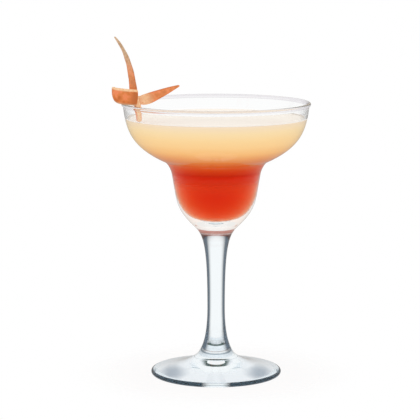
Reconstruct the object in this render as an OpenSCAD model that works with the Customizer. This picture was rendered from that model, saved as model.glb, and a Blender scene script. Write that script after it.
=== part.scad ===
// Margarita glass: a saucer over a cup on a solid stem and a disc foot, with a layered
// drink in it and a knot of orange peel on its rim. Millimetres, +Z up, and the origin is
// the middle of the foot's underside.

/* [Bowl] */
// Outside radius of the rim
rim_r = 58.2; // [54:0.1:63]
// Radius of the round bead that finishes the rim
lip_r = 1.2; // [1:0.1:1.5]
// Lean of the saucer wall just under the bead, in degrees from upright
rim_lean = 7; // [3:0.5:11]
// Height of the saucer, from the shoulder to the rim
saucer_h = 36.6; // [32:0.2:42]
// Outside radius where the saucer turns into the shoulder
shoulder_r = 31.7; // [30:0.1:35]
// Lean of the saucer wall at the shoulder, in degrees from upright
shoulder_lean = 65.5; // [60:0.5:70]
// Height of the shoulder, from the cup to the saucer
shoulder_h = 8.1; // [6.5:0.1:10]
// Outside radius of the cup at its top
cup_r = 27.3; // [25:0.1:29]
// Height of the cup, from the stem to the shoulder
cup_h = 33.2; // [30:0.2:38]
// Lean of the cup wall at its top, in degrees from upright
cup_lean = 10; // [7:0.5:13]

/* [Glass thickness] */
// Wall just under the bead
rim_wall = 1.5; // [1.2:0.1:1.9]
// Wall at the shoulder
shoulder_wall = 2.1; // [1.7:0.1:2.6]
// Wall at the side of the cup, where it turns into the floor
cup_wall = 2.4; // [2:0.1:3]
// Glass under the middle of the cup's floor
floor_t = 4.9; // [4:0.1:7]

/* [Stem] */
// Height of the stem, from the foot's hub to the cup
stem_h = 81.5; // [70:0.5:95]
// Radius where the stem is fused to the cup
stem_top_r = 12.7; // [11.5:0.1:14]
// Lean of the outline at that joint, in degrees from upright
stem_top_lean = 46.5; // [42:0.5:51]
// Least radius of the stem
waist_r = 5.4; // [4.6:0.1:6.4]
// Height of the waist above the hub
waist_h = 31.3; // [26:0.1:37]
// Radius where the stem is fused to the foot's hub
hub_r = 13.8; // [12.5:0.1:16]
// Lean of the outline at the hub, in degrees from upright
hub_lean = 59; // [54:1:64]

/* [Foot] */
// Outside radius of the foot
foot_r = 40.6; // [37:0.1:45]
// Height of the hub above the table
hub_h = 10.6; // [9.5:0.1:12]
// Radius of the foot's rounded edge
edge_r = 1.4; // [1.1:0.1:1.7]
// Fall of the foot's upper face at its edge, in degrees
foot_slope = 7; // [5:0.5:9]
// Inside radius of the flat ring that the glass stands on
ring_r = 34; // [30:0.5:35]
// Depth of the hollow under the foot
hollow_t = 1.2; // [0.8:0.1:1.8]

/* [Drink] */
// Height of the red layer above the cup's floor
base_h = 30; // [26:0.5:34]
// Height of the blended layer
blend_h = 10; // [6:0.5:12]
// Height of the pale layer
top_h = 23.5; // [18:0.5:27]
// Gap between the drink and the glass
drink_gap = 0.2; // [0.1:0.05:0.3]

/* [Orange peel] */
// Place on the rim where the peel sits, in degrees from +X
seat_angle = 208; // [150:1:270]
// Gap under the band at the rim, and under the spear at the drink
seat_gap = 0.3; // [0.2:0.05:0.6]
// Gap between the spear and the band that is folded round it
knot_gap = 0.45; // [0.3:0.05:0.7]
// Thickness of the peel
peel_t = 1.8; // [1.4:0.1:2.2]
// Width of the band at its front
band_w = 10; // [8:0.5:12]
// Width of the band at the fold of its loop
loop_w = 9; // [7:0.5:11]
// Height of the loop's lower edge above the rim, at the fold
loop_lift = 2.7; // [1:0.1:4]
// Reach of the folded loop past the spear, outside the rim
loop_reach = 13; // [11:0.1:16]
// Reach of the tail past the spear, inside the rim
tail_reach = 27.5; // [22:0.5:34]
// Height of the tail's tip above the rim
tail_rise = 11.5; // [8:0.5:15]
// Width of the tail where it leaves the spear
tail_w = 5.4; // [4:0.1:6.5]
// Height of the tail's lower edge above the rim, where it leaves the spear
tail_lift = 0.6; // [0.5:0.1:1.5]
// Width of the spear at the knot
spear_w = 4.8; // [4:0.1:5.4]
// Width of the spear and of the tail at their tips
tip_w = 1.2; // [0.8:0.1:2]
// Height of the spear's tip above the rim
spear_rise = 41.6; // [32:0.2:50]
// How far the spear's tip leans out past the knot
spear_reach = 11.4; // [8:0.1:15]
// Gap between the spear's leg and the glass at the level of the drink
leg_gap = 0.8; // [0.7:0.05:1.5]

/* [Hidden] */
$fn = 96;

// Heights of the stack, from the table up
stem_top_z = hub_h + stem_h;
cup_top_z = stem_top_z + cup_h;
shoulder_z = cup_top_z + shoulder_h;
rim_z = shoulder_z + saucer_h;
floor_z = stem_top_z + floor_t;
blend_z = floor_z + base_h;
top_z = blend_z + blend_h;
fill_z = top_z + top_h;

// How far a curve holds its heading at its two ends, as shares of its reach
saucer_pull = [0.34, 0.54];
bend_pull = [0.1, 0.5];
cup_pull = [0.495, 0.48];
floor_pull = [0.5, 0.5];
stem_pull = [0.145, 0.7];
flare_pull = [0.38, 0.25];
foot_pull = [0.2, 0.6];
hollow_pull = [0.3, 0.5];

// Share of the cup's outline with a side wall inside it, before the floor begins
side_share = 0.38;
// Angle below the bead's middle at which the wall leaves the bead
lip_tuck = 80;
// Lean of the hollow's side at the standing ring, from upright
hollow_lean = 75;
// Straight pieces in one curve of the glass, and in one curve of the peel
steps = 14;
peel_steps = 12;

// A curve is four control points. A span is the curve from a to b that leaves a along the
// heading da and reaches b along db.
function span(a, da, b, db, pull) =
    let (reach = norm(b - a))
    [a, a + pull[0] * reach * da, b - pull[1] * reach * db, b];
function at(s, t) =
    pow(1 - t, 3) * s[0] + 3 * t * pow(1 - t, 2) * s[1] + 3 * t * t * (1 - t) * s[2] + pow(t, 3) * s[3];
function heading(s, t) =
    unit(pow(1 - t, 2) * (s[1] - s[0]) + 2 * t * (1 - t) * (s[2] - s[1]) + t * t * (s[3] - s[2]));
function unit(v) = v / norm(v);
function mix(a, b, t) = a + (b - a) * t;
function shares(n, first = 0) = [for (i = [first:n]) i / n];
function trace(s, first = 0) = [for (t = shares(steps, first)) at(s, t)];
function reversed(points) = [for (i = [len(points) - 1:-1:0]) points[i]];
function arc(middle, r, from, to, first = 0) =
    [for (t = shares(steps, first)) middle + r * [cos(mix(from, to, t)), sin(mix(from, to, t))]];

// Headings in the outline's plane: down and towards the axis, or down and away from it
function inwards(lean) = [-sin(lean), -cos(lean)];
function outwards(lean) = [sin(lean), -cos(lean)];

// The point at t on an outline, moved by the wall's thickness to the side of the drink
function inside(s, t, wall) =
    let (h = heading(s, t))
    at(s, t) + wall * [h[1], -h[0]];

// Outline of the bowl and the stem, from the rim down
lip = [rim_r - lip_r, rim_z - lip_r];
wall_top = lip + lip_r * [cos(lip_tuck), -sin(lip_tuck)];
shoulder = [shoulder_r, shoulder_z];
cup_top = [cup_r, cup_top_z];
stem_top = [stem_top_r, stem_top_z];
waist = [waist_r, hub_h + waist_h];
hub = [hub_r, hub_h];
saucer_side = span(wall_top, inwards(rim_lean), shoulder, inwards(shoulder_lean), saucer_pull);
bend_side = span(shoulder, inwards(shoulder_lean), cup_top, inwards(cup_lean), bend_pull);
cup_side = span(cup_top, inwards(cup_lean), stem_top, inwards(stem_top_lean), cup_pull);
stem_side = span(stem_top, inwards(stem_top_lean), waist, inwards(0), stem_pull);
flare_side = span(waist, inwards(0), hub, outwards(hub_lean), flare_pull);

// Floor inside the cup, from the side wall to the axis
floor_rim = inside(cup_side, side_share, cup_wall);
floor_side = span(floor_rim, heading(cup_side, side_share), [0, floor_z], [-1, 0], floor_pull);

// Inside of the bowl from the bead down to the axis, moved off the glass by a gap
function lining(gap) = concat(
    [for (t = shares(steps)) inside(saucer_side, t, mix(rim_wall, shoulder_wall, t) + gap)],
    [for (t = shares(steps, 1)) inside(bend_side, t, shoulder_wall + gap)],
    [for (t = shares(steps, 1)) inside(cup_side, t * side_share, mix(shoulder_wall, cup_wall, t) + gap)],
    [for (t = shares(steps, 1)) inside(floor_side, t, gap)]);

// Outline of the foot, from the hub over the edge to the hollow
edge_mid = [foot_r - edge_r, edge_r];
edge_start = 90 - foot_slope;
edge_top = edge_mid + edge_r * [cos(edge_start), sin(edge_start)];
foot_side = span(hub, outwards(hub_lean), edge_top, outwards(edge_start), foot_pull);
hollow_side = span([ring_r, 0], -outwards(hollow_lean), [0, hollow_t], [-1, 0], hollow_pull);

glass_tint = [0.86, 0.93, 0.95, 0.4];

module bowl() {
    color(glass_tint)
    rotate_extrude()
    polygon(concat(
        arc(lip, lip_r, 180, -lip_tuck),
        trace(saucer_side, 1),
        trace(bend_side, 1),
        trace(cup_side, 1),
        [[0, stem_top_z]],
        reversed(lining(0))));
}

module stem() {
    color(glass_tint)
    rotate_extrude()
    polygon(concat(
        [[0, stem_top_z]],
        trace(stem_side),
        trace(flare_side, 1),
        [[0, hub_h]]));
}

module foot() {
    color(glass_tint)
    rotate_extrude()
    polygon(concat(
        [[0, hub_h]],
        trace(foot_side),
        arc(edge_mid, edge_r, edge_start, -90, 1),
        trace(hollow_side)));
}

// One layer of the drink: what fills the bowl between two heights
module layer(low, high) {
    fill = lining(drink_gap);
    intersection() {
        rotate_extrude()
        polygon(concat([[0, fill[0][1]]], fill));
        translate([0, 0, low])
        cylinder(r = rim_r, h = high - low);
    }
}

module drink_base() {
    color([0.79, 0.16, 0.06])
    layer(floor_z, blend_z);
}

module drink_blend() {
    color([0.9, 0.53, 0.24])
    layer(blend_z, top_z);
}

module drink_top() {
    color([0.98, 0.86, 0.64])
    layer(top_z, fill_z);
}

// The knot of peel has its own axes: x runs out of the glass along the folded loop, y points
// to its front, and the origin is the top of the rim. The swing turns x off the rim's radius.
band_swing = -28;
out_of_rim = [cos(band_swing), -sin(band_swing)];
along_rim = [sin(band_swing), cos(band_swing)];
// Middle of the knot, the leg's place along the rim, and how far back the two tips reach
knot = [-0.7, 0.4];
leg_shift = 1.9;
spear_back = 3.3;
tail_back = 10;

module at_seat() {
    translate([lip[0] * cos(seat_angle), lip[0] * sin(seat_angle), rim_z])
    rotate([0, 0, seat_angle + band_swing])
    children();
}

// A strip of peel is a list of stations, each with its middle, its heading, the direction of
// its width and its width. Its section is a bar with corners cut off by this much.
corner = 0.4;
function section(w) = [
    for (p = [[1, 1], [-1, 1], [-1, -1], [1, -1]])
    let (flat = [p[0] * (w / 2 - corner), p[1] * peel_t / 2])
    let (edge = [p[0] * w / 2, p[1] * (peel_t / 2 - corner)])
    each p[0] * p[1] > 0 ? [edge, flat] : [flat, edge]];
function ring(station) =
    let (forward = station[1])
    let (wide = unit(station[2] - (station[2] * forward) * forward))
    let (thick = cross(forward, wide))
    [for (p = section(station[3])) station[0] + p[0] * wide + p[1] * thick];

module strip(stations) {
    sides = len(section(band_w));
    last = (len(stations) - 1) * sides;
    polyhedron(
        points = [for (s = stations) each ring(s)],
        faces = concat(
            [for (k = [1:sides - 2]) [0, k, k + 1]],
            [for (k = [1:sides - 2]) [last, last + k + 1, last + k]],
            [for (i = [0:sides:last - sides]) for (k = [0:sides - 1])
                let (a = i + k)
                let (b = i + (k + 1) % sides)
                each [[a, a + sides, b], [b, a + sides, b + sides]]]));
}

// The spear: a leg that stands inside the wall, turns to the front as it passes through the
// band, and bends outwards to its tip. Its width is turned by these angles from the x axis.
leg_turn = 90 - band_swing;
knot_turn = 165;
tip_turn = 180;
// Share of the spear's width at the foot of its leg, the depth of the knot's upper end below
// the band's top edge, and the power by which the spear narrows
leg_share = 0.92;
knot_sink = 1;
spear_taper = 1.4;
knot_top = seat_gap + band_w - knot_sink;
wall_r = lookup(fill_z, [for (p = lining(0)) [p[1], p[0]]]);
leg_r = min(wall_r, lip[0] - lip_r) - leg_gap - peel_t / 2;
leg_foot = concat(leg_shift * along_rim + (leg_r - lip[0]) * out_of_rim, [fill_z - rim_z + seat_gap]);
knot_exit = concat(knot, [knot_top]);
spear_tip = [knot[0] + spear_reach, knot[1] - spear_back, spear_rise];
upright = [0, 0, 1];
knot_heading = unit([0.1, 0, 1]);
tip_heading = unit([0.65, -0.2, 0.75]);
leg_pull = [0.5, 0.35];
spear_pull = [0.4, 0.35];
leg_side = span(leg_foot, upright, knot_exit, knot_heading, leg_pull);
spear_side = span(knot_exit, knot_heading, spear_tip, tip_heading, spear_pull);
function across(turn) = [cos(turn), sin(turn), 0];

module peel_spear() {
    color([0.85, 0.6, 0.38])
    at_seat()
    strip(concat(
        [for (t = shares(peel_steps)) [
            at(leg_side, t),
            heading(leg_side, t),
            across(mix(leg_turn, knot_turn, t)),
            spear_w * mix(leg_share, 1, t)]],
        [for (t = shares(peel_steps, 1)) [
            at(spear_side, t),
            heading(spear_side, t),
            across(mix(knot_turn, tip_turn, t)),
            mix(spear_w, tip_w, pow(t, spear_taper))]]));
}

// The band: its front runs out past the spear, folds round a loop, comes back behind the
// spear and leaves as a tail. The room between the two sides takes the turned spear.
knot_tilt = 45;
loop_room = spear_w * sin(knot_tilt) + peel_t * cos(knot_tilt) + 2 * knot_gap;
fold_y = (loop_room + peel_t) / 2;
band_start = [knot[0] - spear_w / 2 - knot_gap, knot[1] + fold_y, seat_gap + band_w / 2];
loop_end = [knot[0] + loop_reach - peel_t / 2, knot[1], loop_lift + loop_w / 2];
tail_start = [knot[0] - spear_w / 2 - peel_t, knot[1] - fold_y, tail_lift + tail_w / 2];
tail_tip = [knot[0] - tail_reach, knot[1] - tail_back, tail_rise];
backwards = [0, -1, 0];
front_heading = unit([1, 0.3, 0.1]);
tail_heading = unit([-1, -0.1, -0.15]);
tail_end_heading = unit([-1, -0.35, 0.3]);
front_pull = [0.45, 0.4];
back_pull = [0.25, 0.4];
tail_pull = [0.28, 0.35];
front_side = span(band_start, front_heading, loop_end, backwards, front_pull);
back_side = span(loop_end, backwards, tail_start, tail_heading, back_pull);
tail_side = span(tail_start, tail_heading, tail_tip, tail_end_heading, tail_pull);
function smooth(t) = t * t * (3 - 2 * t);

module peel_band() {
    color([0.89, 0.5, 0.24])
    at_seat()
    strip(concat(
        [for (t = shares(peel_steps)) [
            at(front_side, t),
            heading(front_side, t),
            upright,
            mix(band_w, loop_w, t)]],
        [for (t = shares(peel_steps, 1)) [
            at(back_side, t),
            heading(back_side, t),
            upright,
            mix(loop_w, tail_w, smooth(t))]],
        [for (t = shares(peel_steps, 1)) [
            at(tail_side, t),
            heading(tail_side, t),
            upright,
            mix(tail_w, tip_w, t * t)]]));
}

bowl();
stem();
foot();
drink_base();
drink_blend();
drink_top();
peel_spear();
peel_band();
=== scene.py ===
# %% [markdown]
# # A margarita glass with a layered drink and a knot of orange peel
# The real object is clear pressed glass in three fused pieces: a saucer-over-cup bowl, a solid
# stem and a disc foot. A red drink lies under a cloudy pale one in the bowl, and two strips of
# orange peel are knotted on the rim. The measured frame comes first, and every surface is then
# fitted to it as a formula, because a curve has to stay smooth where clear glass bends the light.

import bpy
import numpy as np
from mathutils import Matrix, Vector


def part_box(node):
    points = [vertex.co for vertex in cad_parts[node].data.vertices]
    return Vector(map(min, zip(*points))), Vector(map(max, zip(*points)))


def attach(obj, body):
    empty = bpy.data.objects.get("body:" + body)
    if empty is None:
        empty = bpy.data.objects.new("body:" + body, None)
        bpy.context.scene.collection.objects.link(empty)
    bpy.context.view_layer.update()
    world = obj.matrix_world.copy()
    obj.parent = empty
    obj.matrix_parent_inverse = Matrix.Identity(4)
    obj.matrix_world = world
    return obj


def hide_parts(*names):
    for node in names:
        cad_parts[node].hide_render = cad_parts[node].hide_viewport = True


MM = 0.001
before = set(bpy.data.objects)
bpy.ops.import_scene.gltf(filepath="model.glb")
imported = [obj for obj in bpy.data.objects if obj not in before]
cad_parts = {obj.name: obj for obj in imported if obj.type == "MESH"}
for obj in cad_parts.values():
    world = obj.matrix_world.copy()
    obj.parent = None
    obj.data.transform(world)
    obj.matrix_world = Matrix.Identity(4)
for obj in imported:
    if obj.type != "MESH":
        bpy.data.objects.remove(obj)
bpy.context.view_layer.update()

# %% [markdown]
# ## The outline of the glass
# A round glass is one outline spun round its axis. It could be drawn by hand as a curve object
# and spun with a Screw modifier. Here the outline is a chain of cubic curves whose ends have a
# stated lean, which is how a mould maker dimensions it, and the lining is the same outline moved
# sideways along its own normal, so that the wall's thickness is a stated size all along.

# %% Curves of the outline
def down(lean):
    """Heading in the (radius, height) plane: straight down, turned by lean degrees to the axis."""
    turn = np.radians(lean)
    return np.array([-np.sin(turn), -np.cos(turn)])


def span(start, start_heading, end, end_heading, pull):
    """The four control points of a cubic curve from start to end. The inner two lie on the end
    headings, at the shares pull of the straight distance."""
    start, end = np.array(start, float), np.array(end, float)
    reach = np.linalg.norm(end - start)
    inner_start = start + pull[0] * reach * np.array(start_heading)
    inner_end = end - pull[1] * reach * np.array(end_heading)
    return np.stack([start, inner_start, inner_end, end])


def trace(control, t):
    """Points of the cubic curve at the shares t: the control points blended by the four
    Bernstein weights."""
    t = np.asarray(t, float)[:, None]
    weights = [(1 - t) ** 3, 3 * t * (1 - t) ** 2, 3 * t * t * (1 - t), t**3]
    return sum(w * c for w, c in zip(weights, control))


def heading(control, t):
    """Unit headings of the cubic curve at the shares t: the steps between its control points,
    blended by the three quadratic weights."""
    t = np.asarray(t, float)[:, None]
    steps = np.diff(control, axis=0)
    blend = sum(w * s for w, s in zip([(1 - t) ** 2, 2 * t * (1 - t), t * t], steps))
    return blend / np.linalg.norm(blend, axis=1, keepdims=True)


def step(t, start, end):
    """A smooth step from 0 at start to 1 at end."""
    s = np.clip((np.asarray(t, float) - start) / (end - start), 0, 1)
    return s * s * (3 - 2 * s)


def moved_in(control, t, wall):
    """The curve at the shares t, moved sideways by wall towards the drink: the heading turned by
    a right angle, times the wall."""
    turned = heading(control, t)[:, ::-1] * [1, -1]
    return trace(control, t) + np.reshape(wall, (-1, 1)) * turned


# %% Sizes of the glass, in millimetres and degrees
def corners(node):
    """Lowest and highest corner of a CAD node, in millimetres."""
    return [np.array(corner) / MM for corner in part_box(node)]


bowl_low, bowl_high = corners("bowl")
rim_r, rim_z, joint_z = bowl_high[0], bowl_high[2], bowl_low[2]
foot_r, hub_z = corners("foot")[1][[0, 2]]
blend_z, top_z = corners("drink_blend")[0][2], corners("drink_top")[0][2]
fill_z = corners("drink_top")[1][2]

lip_r = 1.2
lip_tuck = 80
rim_lean = 7
shoulder = (31.7, 133.4)
shoulder_lean = 65.5
cup_top = (27.3, 125.3)
cup_lean = 10
joint_r = 12.7
joint_lean = 46.5
waist = (5.4, 41.9)
hub_r = 13.8
hub_lean = 59
edge_r = 1.4
foot_slope = 7
ring_r = 34
hollow_z = 1.2
hollow_lean = 75
rim_wall, shoulder_wall, cup_wall = 1.5, 2.1, 2.4
floor_z = joint_z + 3.4
side_share = 0.28
print(f"rim {2 * rim_r:.1f} across, {rim_z:.1f} high; foot {2 * foot_r:.1f} across")

# %% Outline of the outside
inwards = np.array([-1.0, 0.0])
lip_middle = np.array([rim_r - lip_r, rim_z - lip_r])
tuck = np.radians(-lip_tuck)
wall_top = lip_middle + lip_r * np.array([np.cos(tuck), np.sin(tuck)])
saucer = span(wall_top, down(rim_lean), shoulder, down(shoulder_lean), (0.34, 0.54))
bend = span(shoulder, down(shoulder_lean), cup_top, down(cup_lean), (0.1, 0.5))
cup = span(cup_top, down(cup_lean), (joint_r, joint_z), down(joint_lean), (0.495, 0.48))
stem_neck = span((joint_r, joint_z), down(joint_lean), waist, down(0), (0.145, 0.7))
stem_flare = span(waist, down(0), (hub_r, hub_z), down(-hub_lean), (0.38, 0.25))
edge_middle = np.array([foot_r - edge_r, edge_r])
edge_start = 90 - foot_slope
edge_top = edge_middle - edge_r * down(foot_slope)
foot_top = span((hub_r, hub_z), down(-hub_lean), edge_top, down(-edge_start), (0.2, 0.6))
hollow = span((ring_r, 0), -down(-hollow_lean), (0, hollow_z), inwards, (0.3, 0.5))
print("the stem is thinnest at", waist[1], "mm, where it is", 2 * waist[0], "mm thick")

# %% Outline of the lining
side_end = np.array([side_share])
floor_start = moved_in(cup, side_end, cup_wall)[0]
bowl_floor = span(floor_start, heading(cup, side_end)[0], (0, floor_z), inwards, (0.42, 0.42))
fine = np.linspace(0, 1, 44)


def lining(gap):
    """Inside of the bowl, from the bead down to the axis, moved off the glass by gap. Down to the
    floor it is the outside moved in by a wall that changes in smooth steps, and the floor starts
    with the same heading, so that the stretches meet without a kink."""
    later = fine[1:]
    thicker = step(fine, 0, 1)
    saucer_wall = rim_wall + (shoulder_wall - rim_wall) * thicker
    side_wall = shoulder_wall + (cup_wall - shoulder_wall) * thicker[1:]
    return np.vstack([
        moved_in(saucer, fine, saucer_wall + gap),
        moved_in(bend, later, shoulder_wall + gap),
        moved_in(cup, side_share * later, side_wall + gap),
        moved_in(bowl_floor, later, gap)])


print("lining:", len(lining(0)), "points, radius", round(lining(0)[0, 0], 2), "under the bead")

# %% [markdown]
# ## A closed tube as a grid
# A lathe and a swept strip are the same mesh: rings of points in rows, joined to a grid whose
# last column meets the first, with one pole vertex at each end. Blender could spin or sweep an
# edge with its own operators, but a grid of indices is exact, closed, and points outwards
# without any repair.

# %% Grid of a closed tube
def tube_faces(rings, turns):
    """Faces of a tube with rings of turns vertices each, then its lower and upper pole vertex.
    Face (i, j) joins vertices j and j + 1 of ring i to those of ring i + 1. The first turns
    faces are the lower fan, and the last are the upper one."""
    here = np.arange(turns)
    there = (here + 1) % turns
    row = turns * np.arange(rings - 1)[:, None]
    quads = np.stack([row + here, row + there, row + turns + there, row + turns + here], axis=2)
    low, last = turns * rings, turns * (rings - 1)
    low_fan = np.stack([np.full(turns, low), there, here], axis=1)
    high_fan = np.stack([np.full(turns, low + 1), last + here, last + there], axis=1)
    return low_fan.tolist() + quads.reshape(-1, 4).tolist() + high_fan.tolist()


def mesh_object(name, vertices, faces, materials):
    """A smooth mesh object at the origin. Vertices are in millimetres."""
    mesh = bpy.data.meshes.new(name)
    mesh.from_pydata((np.asarray(vertices) * MM).tolist(), [], faces)
    mesh.polygons.foreach_set("use_smooth", np.ones(len(faces), bool))
    for material in materials:
        mesh.materials.append(material)
    mesh.update()
    made = bpy.data.objects.new(name, mesh)
    bpy.context.scene.collection.objects.link(made)
    print(f"{name}: {len(faces)} faces, {len(materials)} materials")
    return made


# %% Lathe
def lathe(name, stretches, turns=192):
    """Surface of revolution. Each stretch is (points, material, flat), and together they run from
    the lower pole, up the outside, to the upper pole. The point (r, z) at angle a of the turn is
    (r cos a, r sin a, z). A flat stretch keeps its own normal."""
    materials = list(dict.fromkeys(material for _, material, _ in stretches))
    outline = np.vstack([stretches[0][0]] + [points[1:] for points, _, _ in stretches[1:]])
    rows = [len(points) - 1 for points, _, _ in stretches]
    slots = np.repeat([materials.index(material) for _, material, _ in stretches], rows)
    flats = np.repeat([flat for _, _, flat in stretches], rows)
    angle = np.linspace(0, 2 * np.pi, turns, endpoint=False)
    r, z = outline[1:-1, :1], outline[1:-1, 1:]
    rings = np.stack([r * np.cos(angle), r * np.sin(angle), z + 0 * angle], axis=2)
    poles = [[0, 0, outline[0, 1]], [0, 0, outline[-1, 1]]]
    vertices = np.vstack([rings.reshape(-1, 3), poles])
    made = mesh_object(name, vertices, tube_faces(len(r), turns), materials)
    made.data.polygons.foreach_set("material_index", np.repeat(slots, turns).astype(np.int32))
    made.data.polygons.foreach_set("use_smooth", ~np.repeat(flats, turns))
    return made


# %% [markdown]
# ## Materials as small node trees
# Every finish is a node tree, so that colour, gloss and relief follow the surface at any size.
# Painted image textures could do the same, but they would blur up close. A helper that makes a
# node and fills its sockets keeps each finish to a few lines.

# %% Helpers for node trees
def add(tree, kind, sockets=None, **settings):
    """A new node with its settings, and its sockets set to values or linked to other sockets."""
    made = tree.nodes.new(kind)
    for key, value in settings.items():
        setattr(made, key, value)
    for key, value in (sockets or {}).items():
        if isinstance(value, bpy.types.NodeSocket):
            tree.links.new(value, made.inputs[key])
        else:
            made.inputs[key].default_value = value
    return made


def new_tree(name):
    """An empty node material, its tree and its output node."""
    material = bpy.data.materials.new(name)
    material.use_nodes = True
    material.node_tree.nodes.clear()
    return material, material.node_tree, add(material.node_tree, "ShaderNodeOutputMaterial")


# %% Helpers for places and numbers
def place_on(tree):
    """Object coordinates: where a point of the piece is, in metres."""
    return add(tree, "ShaderNodeTexCoord").outputs["Object"]


def component(tree, vector, axis):
    """The X, Y or Z of a vector."""
    return add(tree, "ShaderNodeSeparateXYZ", {"Vector": vector}).outputs[axis]


def maths(tree, operation, a, b=0.0):
    """One Math node's result."""
    return add(tree, "ShaderNodeMath", {0: a, 1: b}, operation=operation).outputs[0]


def aside(tree, place):
    """How far a place is to the left or right of the axis."""
    return maths(tree, "ABSOLUTE", component(tree, place, "X"))


def ease(tree, value, start, end):
    """A smooth step from 0 at start to 1 at end."""
    sockets = {"Value": value, "From Min": start, "From Max": end}
    made = add(tree, "ShaderNodeMapRange", sockets, interpolation_type="SMOOTHSTEP")
    return made.outputs["Result"]


def ease_mm(tree, length, start, end):
    """A smooth step along a length of the piece, from 0 at start to 1 at end, in millimetres."""
    return ease(tree, length, start * MM, end * MM)


def noise(tree, place, scale, detail):
    """Soft noise between 0 and 1, with about scale bumps to the metre."""
    sockets = {"Vector": place, "Scale": scale, "Detail": detail}
    return add(tree, "ShaderNodeTexNoise", sockets).outputs["Fac"]


# %% Helpers for colours and shaders
def srgb(red, green, blue):
    """A linear colour with alpha from the 0 to 255 values that a picture shows."""
    c = np.array([red, green, blue]) / 255
    linear = np.where(c <= 0.04045, c / 12.92, ((c + 0.055) / 1.055) ** 2.4)
    return (*linear.tolist(), 1.0)


def mixed(tree, factor, a, b):
    """Colour a where the factor is 0, and b where it is 1."""
    return add(tree, "ShaderNodeMix", {0: factor, 6: a, 7: b}, data_type="RGBA").outputs[2]


def ramp(tree, factor, stops):
    """Colour ramp through (position, colour) stops."""
    made = add(tree, "ShaderNodeValToRGB", {"Fac": factor})
    elements = made.color_ramp.elements
    while len(elements) < len(stops):
        elements.new(1.0)
    for element, (position, colour) in zip(elements, stops):
        element.position = position
        element.color = colour
    return made.outputs["Color"]


def mixed_shaders(tree, factor, a, b):
    """Shader a where the factor is 0, and b where it is 1."""
    return add(tree, "ShaderNodeMixShader", {0: factor, 1: a, 2: b}).outputs[0]


def see_through(tree):
    """A shader that lets light straight through."""
    return add(tree, "ShaderNodeBsdfTransparent").outputs[0]


# %% [markdown]
# ## Clear glass
# Pressed table glass is polished, bends light by an index of 1.5, and has a faint blue-green cast
# and a slight ripple from the mould. A Glass shader would do for the bending. The Principled
# shader is used because it also exports. Mix shaders let the soft light straight through to the
# drink and the peel, which would otherwise stand in the dark behind their own glass, and let out
# the rays that thick glass would mirror for ever.

# %% Light through glass
def lets_light_in(tree, surface, mirrors, lost, ends="ShaderNodeBsdfTransparent"):
    """The shader, but open to light on its way to what stands behind the glass: rays to the
    lamps, and rays that leave a dull surface, pass it unbent. A ray that has been mirrored more
    often than mirrors is caught in the glass, and would end black. It is let out in the tone lost,
    or ends in a glow of that tone if ends is the Emission shader."""
    path = add(tree, "ShaderNodeLightPath")
    open_way = see_through(tree)
    way_out = add(tree, ends, {"Color": lost}).outputs[0]
    caught = maths(tree, "GREATER_THAN", path.outputs["Glossy Depth"], mirrors + 0.5)
    inner = mixed_shaders(tree, caught, surface, way_out)
    inner = mixed_shaders(tree, path.outputs["Is Diffuse Ray"], inner, open_way)
    return mixed_shaders(tree, path.outputs["Is Shadow Ray"], inner, open_way)


# %% Painted shade on the sides of the stem
rod_low, rod_high = (hub_z + 0.4, hub_z + 6.4), (joint_z - 0.6, joint_z - 4.6)
rod_flare, flare_lead = (hub_z + 25.4, hub_z + 11.4), 0.05
rod_turn = (0.1, 0.38)


def head_on(tree, normal=None):
    """How squarely the surface is seen, or a surface with the given normal: the cosine of the
    angle between the normal and the line of sight."""
    weight = add(tree, "ShaderNodeLayerWeight", {"Blend": 0.5})
    if normal is not None:
        tree.links.new(normal, weight.inputs["Normal"])
    return maths(tree, "SUBTRACT", 1.0, weight.outputs["Facing"])


def painted_rod_shade(tree, place):
    """The share of painted shade on the rod's sides, standing for a rod that bends light so far at
    its sides that they show the dim ends of the room. The share grows as the surface turns
    sideways, a little sooner where the rod spreads towards the foot, and is gone at both joints.
    How steeply the rod is seen doesn't count, so its cosine is taken over the level part of the
    line of sight."""
    steep = head_on(tree, add(tree, "ShaderNodeCombineXYZ", {"Z": 1.0}).outputs["Vector"])
    level = maths(tree, "SUBTRACT", 1.0, maths(tree, "MULTIPLY", steep, steep))
    square = maths(tree, "DIVIDE", head_on(tree), maths(tree, "SQRT", level))
    z = component(tree, place, "Z")
    flare = maths(tree, "MULTIPLY", ease_mm(tree, z, *rod_flare), flare_lead)
    turned = maths(tree, "ADD", maths(tree, "SUBTRACT", 1.0, square), flare)
    rod = maths(tree, "MULTIPLY", ease_mm(tree, z, *rod_low), ease_mm(tree, z, *rod_high))
    return maths(tree, "MULTIPLY", ease(tree, turned, *rod_turn), rod)


print(f"the stem's sides are dark from {rod_low[1]:.1f} to {rod_high[1]:.1f} mm")

# %% Painted shade on the foot's edge and painted drink light under the cup
edge_highlight_gap = (3, 9)
blush_z = (floor_z + 11.5, floor_z + 2.5)


def painted_edge_shade(tree, place):
    """Painted shade on the foot's edge: beyond the blue that thick glass gathers, it goes over to a
    near-black blue all round, but for a gap of painted highlight at the front and the back, where
    light runs straight through. Behind other glass it is lost in the light."""
    depth = add(tree, "ShaderNodeLightPath").outputs["Transmission Depth"]
    direct = maths(tree, "LESS_THAN", depth, 0.5)
    return maths(tree, "MULTIPLY", direct, ease_mm(tree, aside(tree, place), *edge_highlight_gap))


def painted_drink_light(tree, place):
    """Painted light: the thick glass under the cup takes on a pink tint of the drink above it,
    standing for the drink's light bent through it.
    """
    return ease_mm(tree, component(tree, place, "Z"), *blush_z)


print(f"the edge's light gap is {2 * edge_highlight_gap[0]} mm wide")


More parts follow.
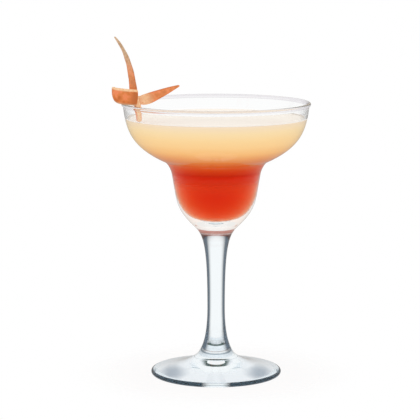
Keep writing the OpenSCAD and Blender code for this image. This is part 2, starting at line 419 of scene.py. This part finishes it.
# %% Polished glass
def clear_glass(name, cast, shine, mirrors, lost, dark=None, where=None):
    """Polished glass: full transmission, a faint pressed ripple, and a slight cast, which goes
    over to dark by the share that where gives; that is painted shade on the stem's sides and the
    foot's edge, and painted drink light under the cup. Shine is the share of its mirror image that
    isn't lost in the bright surroundings."""
    material, tree, output = new_tree(name)
    place = place_on(tree)
    ripple = noise(tree, place, scale=90.0, detail=1.0)
    relief = add(tree, "ShaderNodeBump", {"Height": ripple, "Strength": 0.015, "Distance": 0.001})
    if where:
        cast = mixed(tree, where(tree, place), cast, dark)
    surface = add(tree, "ShaderNodeBsdfPrincipled", {
        "Base Color": cast, "Roughness": 0.0, "IOR": 1.5, "Transmission Weight": 1.0,
        "Specular Tint": (shine, shine, shine, 1), "Normal": relief.outputs["Normal"]})
    glass = lets_light_in(tree, surface.outputs["BSDF"], mirrors, lost)
    tree.links.new(glass, output.inputs["Surface"])
    return material


# %% Glass that touches something
def touching_glass(name, index, mirrors, lost, ends="ShaderNodeBsdfTransparent"):
    """Glass against a drink or against the paper. Where they touch, only the step from one index
    to the other bends the light, so the index is below that of glass against air."""
    material, tree, output = new_tree(name)
    surface = add(tree, "ShaderNodeBsdfPrincipled", {
        "Base Color": (1, 1, 1, 1), "Roughness": 0.0, "IOR": index, "Transmission Weight": 1.0,
        "Specular Tint": (0, 0, 0, 1)})
    glass = lets_light_in(tree, surface.outputs["BSDF"], mirrors, lost, ends)
    tree.links.new(glass, output.inputs["Surface"])
    return material


def fused_joint():
    """A joint inside one body of glass, which lets light straight through."""
    material, tree, output = new_tree("fused_joint")
    tree.links.new(see_through(tree), output.inputs["Surface"])
    return material


# %% Painted dark ring under the foot
shade_ring_r = np.array([8.3, 4.3])
shade_ring_fade = (4.5, 7.5)


def painted_shade_ring():
    """A ring under the foot, painted dark for the shade and reflection seen up through the hub:
    grainy and matt, and faded out at both sides."""
    material, tree, output = new_tree("painted_shade_ring")
    place = place_on(tree)
    grain = noise(tree, place, scale=500.0, detail=3.0)
    colour = ramp(tree, grain, [(0.35, (0.02, 0.05, 0.05, 1)), (0.65, (0.1, 0.17, 0.16, 1))])
    relief = add(tree, "ShaderNodeBump", {"Height": grain, "Strength": 0.3, "Distance": 0.0003})
    matt = add(tree, "ShaderNodeBsdfPrincipled", {
        "Base Color": colour, "Roughness": 0.7, "Normal": relief.outputs["Normal"]})
    faded_out = ease_mm(tree, aside(tree, place), *shade_ring_fade)
    surface = mixed_shaders(tree, faded_out, matt.outputs["BSDF"], see_through(tree))
    tree.links.new(surface, output.inputs["Surface"])
    return material


shade_ring = painted_shade_ring()
print(f"{shade_ring.name}: {shade_ring_r[1]} to {shade_ring_r[0]} mm from the axis")

# %% Finishes of the bowl
warm_white, cup_white = (1.0, 0.96, 0.94, 1), (0.99, 0.97, 0.957, 1)
# Painted light: the cup's glass under the drink goes over to this pink tint.
painted_drink_tint, shoulder_light = (1.0, 0.89, 0.8, 1), (1.0, 0.72, 0.52, 1)
rim_white, rim_shade = (0.985, 0.99, 0.99, 1), (0.35, 0.36, 0.36, 1)
bead_grey, bead_light = (0.85, 0.83, 0.86, 1), (0.85, 0.83, 0.85, 1)
# Painted glow: rays caught in the cup's wet floor end in this pink of the drink.
floor_glow = srgb(198, 139, 127)
wet_index = 1.36
bowl_glass = clear_glass(
    "bowl_glass", cup_white, shine=0.4, mirrors=0, lost=warm_white, dark=painted_drink_tint, where=painted_drink_light)
shoulder_glass = clear_glass(
    "shoulder_glass", cup_white, shine=0.12, mirrors=0, lost=shoulder_light)
rim_glass = clear_glass("rim_glass", rim_white, shine=0.3, mirrors=1, lost=rim_shade)
bead_glass = clear_glass("bead_glass", bead_grey, shine=1.0, mirrors=0, lost=bead_light)
wet = touching_glass("wet_glass", wet_index, mirrors=0, lost=warm_white)
wet_floor = touching_glass("wet_floor", wet_index, 0, floor_glow, ends="ShaderNodeEmission")
print("dry:", bowl_glass.name, shoulder_glass.name, rim_glass.name, bead_glass.name)
print("wet:", wet.name, wet_floor.name)

# %% Finishes of the stem and the foot
clear_blue, pale_blue = (0.93, 0.975, 0.995, 1), (0.9, 0.94, 0.96, 1)
# Painted shade: the near-black blues that the stem's sides and the foot's edge go over to.
side_shade, edge_shade = (0.02, 0.033, 0.05, 1), (0.0016, 0.0045, 0.008, 1)
edge_light = (0.4, 0.46, 0.5, 1)
laid_index = 1.25
stem_glass = clear_glass(
    "stem_glass", clear_blue, shine=1.0, mirrors=1, lost=pale_blue, dark=side_shade, where=painted_rod_shade)
foot_glass = clear_glass("foot_glass", clear_blue, shine=1.0, mirrors=1, lost=pale_blue)
edge_glass = clear_glass(
    "edge_glass", clear_blue, shine=1.0, mirrors=1, lost=edge_light, dark=edge_shade,
    where=painted_edge_shade)
underside = touching_glass("underside_glass", laid_index, mirrors=0, lost=pale_blue)
joint = fused_joint()
print("stem:", stem_glass.name, joint.name)
print("foot:", foot_glass.name, edge_glass.name, underside.name)

# %% [markdown]
# ## Bowl, stem and foot
# The three pieces are pressed or drawn apart and fused while hot, so light passes the joints as
# if they weren't there. They stay three closed meshes with flat caps at the joints, and the caps
# carry the fused material. The wall below the drink's level has the wet finish. The shoulder and
# the bead of the rim have finishes of their own: the one is filled with the light of the drink,
# and the other is a round of thicker glass with a greyer cast.

# %% Bowl
def arc(middle, r, start, end, count=20):
    """Points of a circle of radius r between two angles in degrees: the middle plus r times
    (cos, sin)."""
    a = np.radians(np.linspace(start, end, count))
    return np.asarray(middle) + r * np.stack([np.cos(a), np.sin(a)], axis=1)


cap = np.array([[0, joint_z], [joint_r, joint_z]])
dry_wall = lining(0)[lining(0)[:, 1] > fill_z]
wet_wall = lining(0)[lining(0)[:, 1] <= fill_z]
floor_points = len(fine) - 1
shoulder_start = 3 * len(fine) // 4
bowl = lathe("glass_bowl", [
    (cap, joint, True),
    (trace(cup, fine)[::-1], bowl_glass, False),
    (trace(bend, fine)[::-1], shoulder_glass, False),
    (trace(saucer, fine[shoulder_start:])[::-1], shoulder_glass, False),
    (trace(saucer, fine[:shoulder_start + 1])[::-1], rim_glass, False),
    (arc(lip_middle, lip_r, -lip_tuck, 180), bead_glass, False),
    (np.vstack([lip_middle - [lip_r, 0], dry_wall]), rim_glass, False),
    (np.vstack([dry_wall[-1:], wet_wall[:-floor_points]]), wet, False),
    (wet_wall[-floor_points - 1:], wet_floor, False)])

# %% Stem and foot
hub_cap = np.array([[0, hub_z], [hub_r, hub_z]])
stem = lathe("glass_stem", [
    (hub_cap, joint, True),
    (trace(stem_flare, fine)[::-1], stem_glass, False),
    (trace(stem_neck, fine)[::-1], stem_glass, False),
    (cap[::-1], joint, True)])
edge_w = 5
ring_end = foot_r - edge_w
shade_ring_out, shade_ring_in = np.interp(-shade_ring_r, -trace(hollow, fine)[:, 0], fine)
foot = lathe("glass_foot", [
    (trace(hollow, np.linspace(shade_ring_in, 1, 10))[::-1], underside, False),
    (trace(hollow, np.linspace(shade_ring_out, shade_ring_in, 8))[::-1], shade_ring, False),
    (trace(hollow, shade_ring_out * fine)[::-1], underside, False),
    (np.array([[ring_r, 0], [ring_end, 0]]), underside, False),
    (np.array([[ring_end, 0], [foot_r - edge_r, 0]]), edge_glass, False),
    (arc(edge_middle, edge_r, -90, edge_start), edge_glass, False),
    (trace(foot_top, fine)[::-1], foot_glass, False),
    (hub_cap[::-1], joint, True)])
for piece, node in ((bowl, "bowl"), (stem, "stem"), (foot, "foot")):
    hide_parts(node)
    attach(piece, "glass")

# %% [markdown]
# ## The drink
# The red syrup at the bottom is clear enough to glow where it is thin and dark where it is deep,
# so it is a volume that absorbs light, with a little haze on its skin. The pale drink above is
# cloudy and hides what is behind it. Between them the two have mixed, and the colour runs from
# one to the other with the height. The lower two follow the lining of the bowl at a small
# distance, and the top one reaches just into the wall, so that no film of air shows there.

# %% Where the drink shows
level_limit = 0.99


def upright(tree, share):
    """The share on walls seen from outside, and nothing on the level faces between two layers or
    on the far wall seen from within."""
    geometry = add(tree, "ShaderNodeNewGeometry")
    rise = component(tree, geometry.outputs["True Normal"], "Z")
    wall = maths(tree, "LESS_THAN", maths(tree, "ABSOLUTE", rise), level_limit)
    near = maths(tree, "SUBTRACT", wall, geometry.outputs["Backfacing"])
    return maths(tree, "MULTIPLY", maths(tree, "MAXIMUM", near, 0.0), share)


def height_share(tree, low, high):
    """How far a point is from the height low, 0, to the height high, 1."""
    z = component(tree, place_on(tree), "Z")
    sockets = {"Value": z, "From Min": low * MM, "From Max": high * MM}
    return add(tree, "ShaderNodeMapRange", sockets).outputs["Result"]


# %% Red drink
red_absorb = {"Color": (0.957, 0.5, 0, 1), "Density": 195.0}
thin_red, deep_red = srgb(236, 84, 28), srgb(206, 42, 15)
haze_z = (blend_z - 14, blend_z)
haze_least, haze_gain = 0.12, 0.68


def red_drink():
    """Red syrup: it absorbs green and blue with depth, and has a haze that thickens upwards."""
    material, tree, output = new_tree("red_drink")
    upper = ease_mm(tree, component(tree, place_on(tree), "Z"), *haze_z)
    colour = mixed(tree, upper, thin_red, deep_red)
    haze = add(tree, "ShaderNodeBsdfDiffuse", {"Color": colour}).outputs[0]
    share = maths(tree, "ADD", maths(tree, "MULTIPLY", upper, haze_gain), haze_least)
    surface = mixed_shaders(tree, upright(tree, share), see_through(tree), haze)
    volume = add(tree, "ShaderNodeVolumeAbsorption", red_absorb)
    tree.links.new(surface, output.inputs["Surface"])
    tree.links.new(volume.outputs["Volume"], output.inputs["Volume"])
    return material


red = red_drink()
print(f"{red.name}: hazy from {haze_z[0]:.0f} mm up")

# %% Cloudy drink
froth, under_glow = srgb(253, 237, 215), srgb(240, 150, 90)
swirl_share = 0.04
thinning = (-0.45, 0.2)


def cloudy_drink(name, stops, gloss, thins_out):
    """Cloudy drink: a dull wet body whose colour runs through (height, colour) stops, a little
    uneven as liquids that mix are, with a paler froth on its level top. Only a layer that meets
    the air has gloss. A layer that thins out clears downwards into the red, and its far side, seen
    from within, is open. The underside of any other has the glow of light scattered in the
    drink."""
    material, tree, output = new_tree(name)
    swirl = maths(tree, "SUBTRACT", noise(tree, place_on(tree), scale=45.0, detail=2.0), 0.5)
    low, high = stops[0][0], stops[-1][0]
    height = height_share(tree, low, high)
    shares = [((z - low) / (high - low), colour) for z, colour in stops]
    uneven = maths(tree, "ADD", height, maths(tree, "MULTIPLY", swirl, swirl_share))
    rise = component(tree, add(tree, "ShaderNodeNewGeometry").outputs["True Normal"], "Z")
    on_top = maths(tree, "GREATER_THAN", rise, level_limit)
    surface = add(tree, "ShaderNodeBsdfPrincipled", {
        "Base Color": mixed(tree, on_top, ramp(tree, uneven, shares), froth),
        "Roughness": 0.12, "IOR": 1.34, "Specular IOR Level": gloss}).outputs["BSDF"]
    if thins_out:
        share = upright(tree, ease(tree, height, *thinning))
        surface = mixed_shaders(tree, share, see_through(tree), surface)
        volume = add(tree, "ShaderNodeVolumeAbsorption", red_absorb)
        tree.links.new(volume.outputs["Volume"], output.inputs["Volume"])
    else:
        beneath = maths(tree, "LESS_THAN", rise, -level_limit)
        glow = add(tree, "ShaderNodeEmission", {"Color": under_glow}).outputs[0]
        surface = mixed_shaders(tree, beneath, surface, glow)
    tree.links.new(surface, output.inputs["Surface"])
    return material


# %% Finishes of the cloudy drink
tones_over_red = [
    (0, (203, 42, 15)), (3.5, (211, 62, 18)), (6.5, (217, 86, 24)), (8.6, (223, 108, 40)),
    (11.2, (232, 138, 68)), (13.7, (243, 165, 94)), (16.5, (252, 190, 116)),
    (20.6, (254, 208, 142)), (24.6, (254, 216, 154)), (28.8, (252, 223, 171)),
    (fill_z - blend_z, (247, 224, 194))]
mingled = [(blend_z + rise, srgb(*tone)) for rise, tone in tones_over_red]
orange = cloudy_drink("orange_drink", mingled, gloss=0.0, thins_out=True)
cream = cloudy_drink("cream_drink", mingled, gloss=0.5, thins_out=False)
print(f"{orange.name} and {cream.name}: colours from {blend_z:.1f} to {fill_z:.1f} mm")

# %% Drink layers
drink_gap, cream_gap, layer_gap = 0.2, -0.06, 0.02
nearly = 1e-6


def drink_side(low, high, gap):
    """The lining between two heights, from the bottom up, moved off the glass by gap."""
    wall = lining(gap)[::-1]
    r = np.interp([low, high], wall[:, 1], wall[:, 0])
    inner = wall[(wall[:, 1] > low + nearly) & (wall[:, 1] < high - nearly)]
    return np.vstack([[r[0], low], inner, [r[1], high]])


def layer(name, low, high, gap, material):
    """A layer of the drink: a level bottom, the lining's side, and a level top, all spun."""
    side = drink_side(low, high, gap)
    bottom = np.array([[0, low], side[0]])
    top = np.array([side[-1], [0, high]])
    made = lathe(name, [(bottom, material, True), (side, material, False), (top, material, True)])
    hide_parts(name)
    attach(made, "glass")


base_z = lining(drink_gap)[-2, 1]
layer("drink_base", base_z, blend_z - layer_gap, drink_gap, red)
layer("drink_blend", blend_z, top_z, drink_gap, orange)
layer("drink_top", top_z, fill_z, cream_gap, cream)

# %% [markdown]
# ## The knot of orange peel
# A bartender cuts two strips of peel, folds one round the other and hangs the knot on the rim.
# Peel has a waxy orange skin full of tiny oil pits, and pale fibrous pith inside. Each strip could
# be a curve with a bevel, but a swept section gives its own width, turn and skin side all along,
# and one attribute tells the material where skin ends and pith begins, and where painted shade
# darkens the skin.

# %% Peel material
def orange_peel():
    """Waxy pitted skin where the first attribute is 1, pale fibrous pith where it is 0, and skin
    darkened by painted shade past 1. The attribute dry turns all of it to the tan of peel that has
    stood a while."""
    material, tree, output = new_tree("orange_peel")
    place = place_on(tree)
    zest_and_shade = add(tree, "ShaderNodeAttribute", attribute_name="zest_and_shade").outputs["Fac"]
    dry = add(tree, "ShaderNodeAttribute", attribute_name="dry").outputs["Fac"]
    blotch = noise(tree, place, scale=260.0, detail=3.0)
    fibre = noise(tree, place, scale=900.0, detail=4.0)
    pits = add(tree, "ShaderNodeTexVoronoi", {"Vector": place, "Scale": 1400.0})
    skin = ramp(tree, blotch, [
        (0.35, srgb(206, 106, 38)), (0.48, srgb(226, 126, 56)), (0.62, srgb(244, 138, 84))])
    pith = ramp(tree, fibre, [(0.3, srgb(240, 186, 138)), (0.7, srgb(253, 216, 172))])
    tan = ramp(tree, fibre, [(0.3, srgb(186, 146, 108)), (0.7, srgb(222, 188, 152))])
    # Past 1 the skin goes darker: painted shade.
    deep = mixed(tree, ease(tree, zest_and_shade, 1.0, 1.6), skin, srgb(194, 102, 36))
    colour = mixed(tree, dry, mixed(tree, zest_and_shade, pith, deep), tan)
    rough = add(tree, "ShaderNodeMapRange", {"Value": zest_and_shade, "To Min": 0.8, "To Max": 0.42})
    pitted = maths(tree, "MULTIPLY", pits.outputs["Distance"], zest_and_shade)
    height = maths(tree, "ADD", pitted, fibre)
    relief = add(tree, "ShaderNodeBump", {"Height": height, "Strength": 0.35, "Distance": 0.0004})
    surface = add(tree, "ShaderNodeBsdfPrincipled", {
        "Base Color": colour, "Roughness": rough.outputs["Result"],
        "Normal": relief.outputs["Normal"]})
    tree.links.new(surface.outputs["BSDF"], output.inputs["Surface"])
    return material


peel = orange_peel()
print("peel:", peel.name)

# %% A strip of peel
flat_power, edge_power = 0.35, 0.6
end_round = 1.0


def unit(v):
    """Vectors over their lengths."""
    v = np.asarray(v, float)
    return v / np.linalg.norm(v, axis=-1, keepdims=True)


def strip(name, middle, forward, wide, width, thickness, zest_and_shade, dry, sides=64):
    """A strip as a closed tube. At angle a of its section, the point is the middle, plus half the
    width times c along wide, plus half the thickness times s along thick. There c and s are cos a
    and sin a raised to a low power, which makes a flat bar with round corners. Both shrink as a
    quarter circle over the last millimetre at each end. The attributes zest and dry are functions
    of (station, c, s)."""
    wide = unit(wide - np.sum(wide * forward, axis=1, keepdims=True) * forward)
    thick = np.cross(forward, wide)
    a = np.linspace(0, 2 * np.pi, sides, endpoint=False)
    c = np.sign(np.cos(a)) * np.abs(np.cos(a)) ** flat_power
    s = np.sign(np.sin(a)) * np.abs(np.sin(a)) ** edge_power
    reach = np.concatenate([[0], np.cumsum(np.linalg.norm(np.diff(middle, axis=0), axis=1))])
    near_end = np.clip(np.minimum(reach, reach[-1] - reach) / end_round, 0, 1)
    round_end = np.sqrt(1 - (1 - near_end) ** 2)
    along_wide = (width * round_end / 2)[:, None, None] * c[:, None] * wide[:, None]
    along_thick = (thickness * round_end / 2)[:, None, None] * s[:, None] * thick[:, None]
    rings = (middle[:, None] + along_wide + along_thick)[1:-1]
    vertices = seated(np.vstack([rings.reshape(-1, 3), middle[[0, -1]]]))
    made = mesh_object(name, vertices, tube_faces(len(rings), sides), [peel])
    station = np.linspace(0, 1, len(middle))[:, None]
    for key, share in (("zest_and_shade", zest_and_shade), ("dry", dry)):
        values = share(station, c, s)
        values = np.concatenate([values[1:-1].ravel(), [values[0].mean(), values[-1].mean()]])
        made.data.attributes.new(key, "FLOAT", "POINT").data.foreach_set("value", values)
    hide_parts(name)
    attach(made, "garnish")


# %% [markdown]
# ## Where the knot sits
# The knot has its own axes: x runs out of the glass along the folded loop, y points to the front,
# and the origin is the top of the rim. The spear stands inside the wall, passes through the band
# and bends outwards to its tip. The band's front runs past the spear, folds round a loop and comes
# back behind it as a tail.

# %% Axes of the knot
seat_angle, band_swing = np.radians(208), np.radians(-28)
out_of_rim = np.array([np.cos(band_swing), -np.sin(band_swing)])
along_rim = np.array([np.sin(band_swing), np.cos(band_swing)])
knot = np.array([-0.7, 0.4])
peel_t, seat_gap, knot_gap = 1.8, 0.3, 0.45
upwards = np.array([0.0, 0.0, 1.0])


def seated(points):
    """Points from the knot's axes to the glass: turned about the upright by the seat's angle and
    the swing, then moved to the rim."""
    turn = seat_angle + band_swing
    x, y, z = points.T
    place = lip_middle[0] * np.array([np.cos(seat_angle), np.sin(seat_angle)])
    return np.stack([place[0] + x * np.cos(turn) - y * np.sin(turn),
                     place[1] + x * np.sin(turn) + y * np.cos(turn), rim_z + z], axis=1)


def chain(spans, count=70):
    """Middles and headings along spans that follow on from each other, and the span and share of
    each station."""
    t = np.linspace(0, 1, count)
    parts = [t if i == 0 else t[1:] for i in range(len(spans))]
    middle = np.vstack([trace(s, p) for s, p in zip(spans, parts)])
    forward = np.vstack([heading(s, p) for s, p in zip(spans, parts)])
    number = np.concatenate([np.full(len(p), i) for i, p in enumerate(parts)])
    return middle, forward, number, np.concatenate(parts)


# %% Course of the spear
spear_w, tip_w, band_w = 4.8, 1.2, 10.0
leg_gap, leg_side, exit_drop = 0.8, 1.9, 1
tip_out, tip_back, tip_rise = 11.4, 3.3, 41.6
wall = lining(0)[::-1]
leg_r = np.interp(fill_z, wall[:, 1], wall[:, 0]) - leg_gap - peel_t / 2
leg_place = leg_side * along_rim + (leg_r - lip_middle[0]) * out_of_rim
leg_foot = [*leg_place, fill_z - rim_z + seat_gap]
knot_exit = [*knot, seat_gap + band_w - exit_drop]
spear_tip = [knot[0] + tip_out, knot[1] - tip_back, tip_rise]
knot_heading = unit([0.1, 0, 1])
tip_heading = unit([0.65, -0.2, 0.75])
leg = span(leg_foot, upwards, knot_exit, knot_heading, (0.5, 0.35))
blade = span(knot_exit, knot_heading, spear_tip, tip_heading, (0.4, 0.35))
print(f"the spear's tip is {rim_z + tip_rise:.1f} mm high")

# %% Spear
foot_turn, knot_turn, tip_turn = 118, 165, 180
foot_w = 0.92 * spear_w
ragged, spear_waves = 0.12, 23
middle, forward, number, t = chain([leg, blade])
leg_turn = foot_turn + (knot_turn - foot_turn) * t
blade_turn = knot_turn + (tip_turn - knot_turn) * t
turn = np.radians(np.where(number == 0, leg_turn, blade_turn))
wide = np.stack([np.cos(turn), np.sin(turn), 0 * turn], axis=1)
leg_w, blade_w = foot_w + (spear_w - foot_w) * t, spear_w + (tip_w - spear_w) * t
width = np.where(number == 0, leg_w, blade_w) - ragged * (1 + np.sin(spear_waves * (number + t)))


def spear_zest_and_shade(station, c, s):
    """Skin on the leg's left half and on the blade, darkened by painted shade at its edges; the
    leg's right half is pith."""
    on_leg = 1 - step(station, 0.4, 0.5)
    left = 1 - step(c, -0.4, 0.2)
    # Painted shade darkens the blade's edges.
    edges = 0.9 + 0.4 * step(np.abs(c), 0.6, 0.95)
    return np.maximum(step(s, 0.2, 0.6), on_leg * left + (1 - on_leg) * edges)


def spear_dry(station, c, s):
    """The blade dries from its tip down, and least along its left edge."""
    left_edge = step(-c, 0.5, 0.95)
    return step(station, 0.6, 0.84) * (0.85 - 0.35 * left_edge) + 0.15 * step(station, 0.45, 0.5)


strip("peel_spear", middle, forward, wide, width, peel_t, spear_zest_and_shade, spear_dry)

# %% Course of the band
tilt = np.radians(45)
loop_room = spear_w * np.sin(tilt) + peel_t * np.cos(tilt) + 2 * knot_gap
fold_y = (loop_room + peel_t) / 2
loop_w, tail_w = 9.0, 5.4
loop_out, loop_low, tail_low = 13, 2.7, 0.6
tail_in, tail_back, tail_rise = 27.5, 10, 11.5
band_start = [knot[0] - spear_w / 2 - knot_gap, knot[1] + fold_y, seat_gap + band_w / 2]
loop_end = [knot[0] + loop_out - peel_t / 2, knot[1], loop_low + loop_w / 2]
tail_start = [knot[0] - spear_w / 2 - peel_t, knot[1] - fold_y, tail_low + tail_w / 2]
tail_tip = [knot[0] - tail_in, knot[1] - tail_back, tail_rise]
backwards = np.array([0.0, -1.0, 0.0])
tail_heading = unit([-1, -0.2, 0.12])
front = span(band_start, unit([1, 0.3, 0.1]), loop_end, backwards, (0.45, 0.4))
behind = span(loop_end, backwards, tail_start, tail_heading, (0.25, 0.4))
tail = span(tail_start, tail_heading, tail_tip, unit([-1, -0.35, 0.3]), (0.28, 0.35))
print(f"the band leaves {loop_room:.1f} mm for the spear")

# %% Band
leaf_swell, corner_cut, cut_spread, band_waves = 2.2, 4.2, 0.2, 11
middle, forward, number, t = chain([front, behind, tail])
front_w = band_w + (loop_w - band_w) * t
behind_w = loop_w + (tail_w - loop_w) * step(t, 0, 1)
leaf_w = tail_w + (tip_w - tail_w) * t**2 + leaf_swell * np.sin(np.pi * t**0.8) * (1 - t)
width = np.select([number == 0, number == 1], [front_w, behind_w], leaf_w)
cut = corner_cut * np.exp(-(((number + t - 1) / cut_spread) ** 2))
cut = cut + ragged * (1 + np.sin(band_waves * (number + t)))
middle = middle + cut[:, None] / 2 * upwards
wide = np.broadcast_to(upwards, middle.shape)


def band_zest_and_shade(station, c, s):
    """Skin on the outside of the fold, darkened by painted shade where the band goes under the
    spear, and pith on its inside and at the upper cut edge. On the tail the pith is cut thin, and
    the skin shows through, with painted shade darkest at its edges."""
    # The rise to 1.5 at the band's start is painted shade, where it goes under the spear.
    outside = (1 - step(s, -0.3, 0.1)) * (1 + 0.5 * (1 - step(station, 0.02, 0.12)))
    below_edge = 1 - step(c, 0.6, 0.8)
    # The tail's edges go past 1: painted shade.
    on_tail = step(station, 0.7, 0.8) * (0.9 + 0.4 * step(np.abs(c), 0.65, 0.95))
    return np.maximum(outside * below_edge, on_tail)


def band_dry(station, c, s):
    """Only the band's lower cut edge has dried."""
    return 0.7 * step(-c, 0.75, 0.9) * (1 - step(station, 0.25, 0.33))


strip("peel_band", middle, forward, wide, width - cut, peel_t, band_zest_and_shade, band_dry)

# %% [markdown]
# ## Floor, light and camera
# The glass stands on plain white paper in soft, even light. Clear glass shows only what is around
# it: white paper and backdrop through its middle, and a dimmer room as the mirror image along its
# outline. Lamps and planes round the object could give both. Here they are in the world's colour,
# the same from every side, so the glass looks right wherever the camera goes.

# %% Tones of the paper, with painted patches
white, matt_white, cool_white = (1, 1, 1, 1), (0.93, 0.93, 0.93, 1), (0.91, 0.96, 1, 1)
# Painted shade: the dim blue of the patches seen through the glass.
patch_shade = (0.22, 0.31, 0.4, 1)
patch_in, patch_out = (14, 26), (28, 38)
patch_y, patch_fade = -12, (4, 24)
patch_look = (0.1, 0.42)


def patches(tree, place, path):
    """The share of a painted dim patch on each side of the stem, a painted reflection of the dim
    room in the foot, which a shallow look shows and no mirror image does: it rises and falls to the
    side, and falls to the front and the back."""
    off_x = aside(tree, place)
    along = maths(tree, "SUBTRACT", component(tree, place, "Y"), patch_y * MM)
    inner, outer = ease_mm(tree, off_x, *patch_in), ease_mm(tree, off_x, *patch_out)
    fall = maths(tree, "ADD", outer, ease_mm(tree, maths(tree, "ABSOLUTE", along), *patch_fade))
    painted_lobe = maths(tree, "MAXIMUM", maths(tree, "SUBTRACT", inner, fall), 0.0)
    straight = maths(tree, "LESS_THAN", path.outputs["Glossy Depth"], 0.5)
    facing = add(tree, "ShaderNodeLayerWeight", {"Blend": 0.5}).outputs["Facing"]
    shallow = ease(tree, facing, *patch_look)
    return maths(tree, "MULTIPLY", painted_lobe, maths(tree, "MULTIPLY", straight, shallow))


def shown_to(tree, path):
    """1 for rays that show a picture, which come from the camera, a mirror image or through glass,
    and 0 for rays that only bring light."""
    shown = maths(tree, "MAXIMUM", path.outputs["Is Camera Ray"], path.outputs["Is Glossy Ray"])
    return maths(tree, "MAXIMUM", shown, path.outputs["Is Transmission Ray"])


print(f"the paper's patches are deepest {patch_in[1]} to {patch_out[0]} mm to each side")

# %% Floor
paper_glow = 0.75
wide_fade, near_fade = (45, 95), (41, 48)
floor_r, floor_sides, floor_drop = 100, 96, 0.02


def paper():
    """White paper that shows as white, keeps a faint shadow, and fades out round the foot. Through
    the glass it shows a painted cool tone, and painted dim patches beside the stem."""
    material, tree, output = new_tree("floor_paper")
    place = place_on(tree)
    path = add(tree, "ShaderNodeLightPath")
    direct = path.outputs["Is Camera Ray"]
    shade = mixed(tree, patches(tree, place, path), cool_white, patch_shade)
    tone = mixed(tree, direct, shade, white)
    dull = add(tree, "ShaderNodeBsdfDiffuse", {"Color": matt_white}).outputs[0]
    bright = add(tree, "ShaderNodeEmission", {"Color": tone, "Strength": 1.0}).outputs[0]
    glow = maths(tree, "MULTIPLY", shown_to(tree, path), paper_glow)
    sheet = mixed_shaders(tree, glow, dull, bright)
    far = add(tree, "ShaderNodeVectorMath", {0: place}, operation="LENGTH").outputs["Value"]
    fades = {0: direct, 2: ease_mm(tree, far, *near_fade), 3: ease_mm(tree, far, *wide_fade)}
    fade = add(tree, "ShaderNodeMix", fades).outputs[0]
    surface = mixed_shaders(tree, fade, sheet, see_through(tree))
    tree.links.new(surface, output.inputs["Surface"])
    return material


around = np.linspace(0, 2 * np.pi, floor_sides, endpoint=False)
ring = floor_r * np.stack([np.cos(around), np.sin(around), 0 * around], axis=1)
floor = mesh_object("floor", ring - floor_drop * upwards, [list(range(floor_sides))], [paper()])

# %% World
dim_room, ceiling, ceiling_rise = (0.4, 0.38, 0.36, 1), (0.6, 0.6, 0.6, 1), (0.15, 0.35)


def studio():
    """White to the camera and through glass. What glass mirrors is a dim room, lighter overhead.
    Dull surfaces get even light."""
    world = bpy.data.worlds.new("studio")
    world.use_nodes = True
    tree = world.node_tree
    tree.nodes.clear()
    output = add(tree, "ShaderNodeOutputWorld")
    path = add(tree, "ShaderNodeLightPath")
    rise = component(tree, add(tree, "ShaderNodeTexCoord").outputs["Generated"], "Z")
    mirrored = mixed(tree, ease(tree, rise, *ceiling_rise), dim_room, ceiling)
    bent = maths(tree, "GREATER_THAN", path.outputs["Transmission Depth"], 0.5)
    through = maths(tree, "MAXIMUM", bent, path.outputs["Is Transmission Ray"])
    through = maths(tree, "MAXIMUM", through, path.outputs["Is Camera Ray"])
    seen = mixed(tree, through, mirrored, white)
    direct = maths(tree, "LESS_THAN", path.outputs["Diffuse Depth"], 0.5)
    shown = maths(tree, "MULTIPLY", shown_to(tree, path), direct)
    soft = add(tree, "ShaderNodeBackground", {"Color": white, "Strength": 1.0}).outputs[0]
    view = add(tree, "ShaderNodeBackground", {"Color": seen, "Strength": 1.0}).outputs[0]
    tree.links.new(mixed_shaders(tree, shown, soft, view), output.inputs["Surface"])
    return world


scene = bpy.context.scene
scene.world = studio()
scene.view_settings.view_transform = "Standard"
print("world:", scene.world.name)

# %% Camera
camera_place = Vector((0, -1.2, 0.283))
pitch = np.radians(8.53)
focal_px, frame_px, axis_px = 1960, 420, 216.2
sensor_mm = 36
yaw = np.arctan((axis_px - frame_px / 2) / focal_px)
camera = bpy.data.objects.new("camera", bpy.data.cameras.new("camera"))
scene.collection.objects.link(camera)
camera.location = camera_place
look = Vector((-np.sin(yaw) * np.cos(pitch), np.cos(yaw) * np.cos(pitch), -np.sin(pitch)))
camera.rotation_euler = look.to_track_quat("-Z", "Y").to_euler()
camera.data.sensor_width = sensor_mm
camera.data.lens = sensor_mm * focal_px / frame_px
scene.camera = camera
print(f"camera: {camera.data.lens:.0f} mm lens, {np.degrees(pitch):.1f} degrees down")
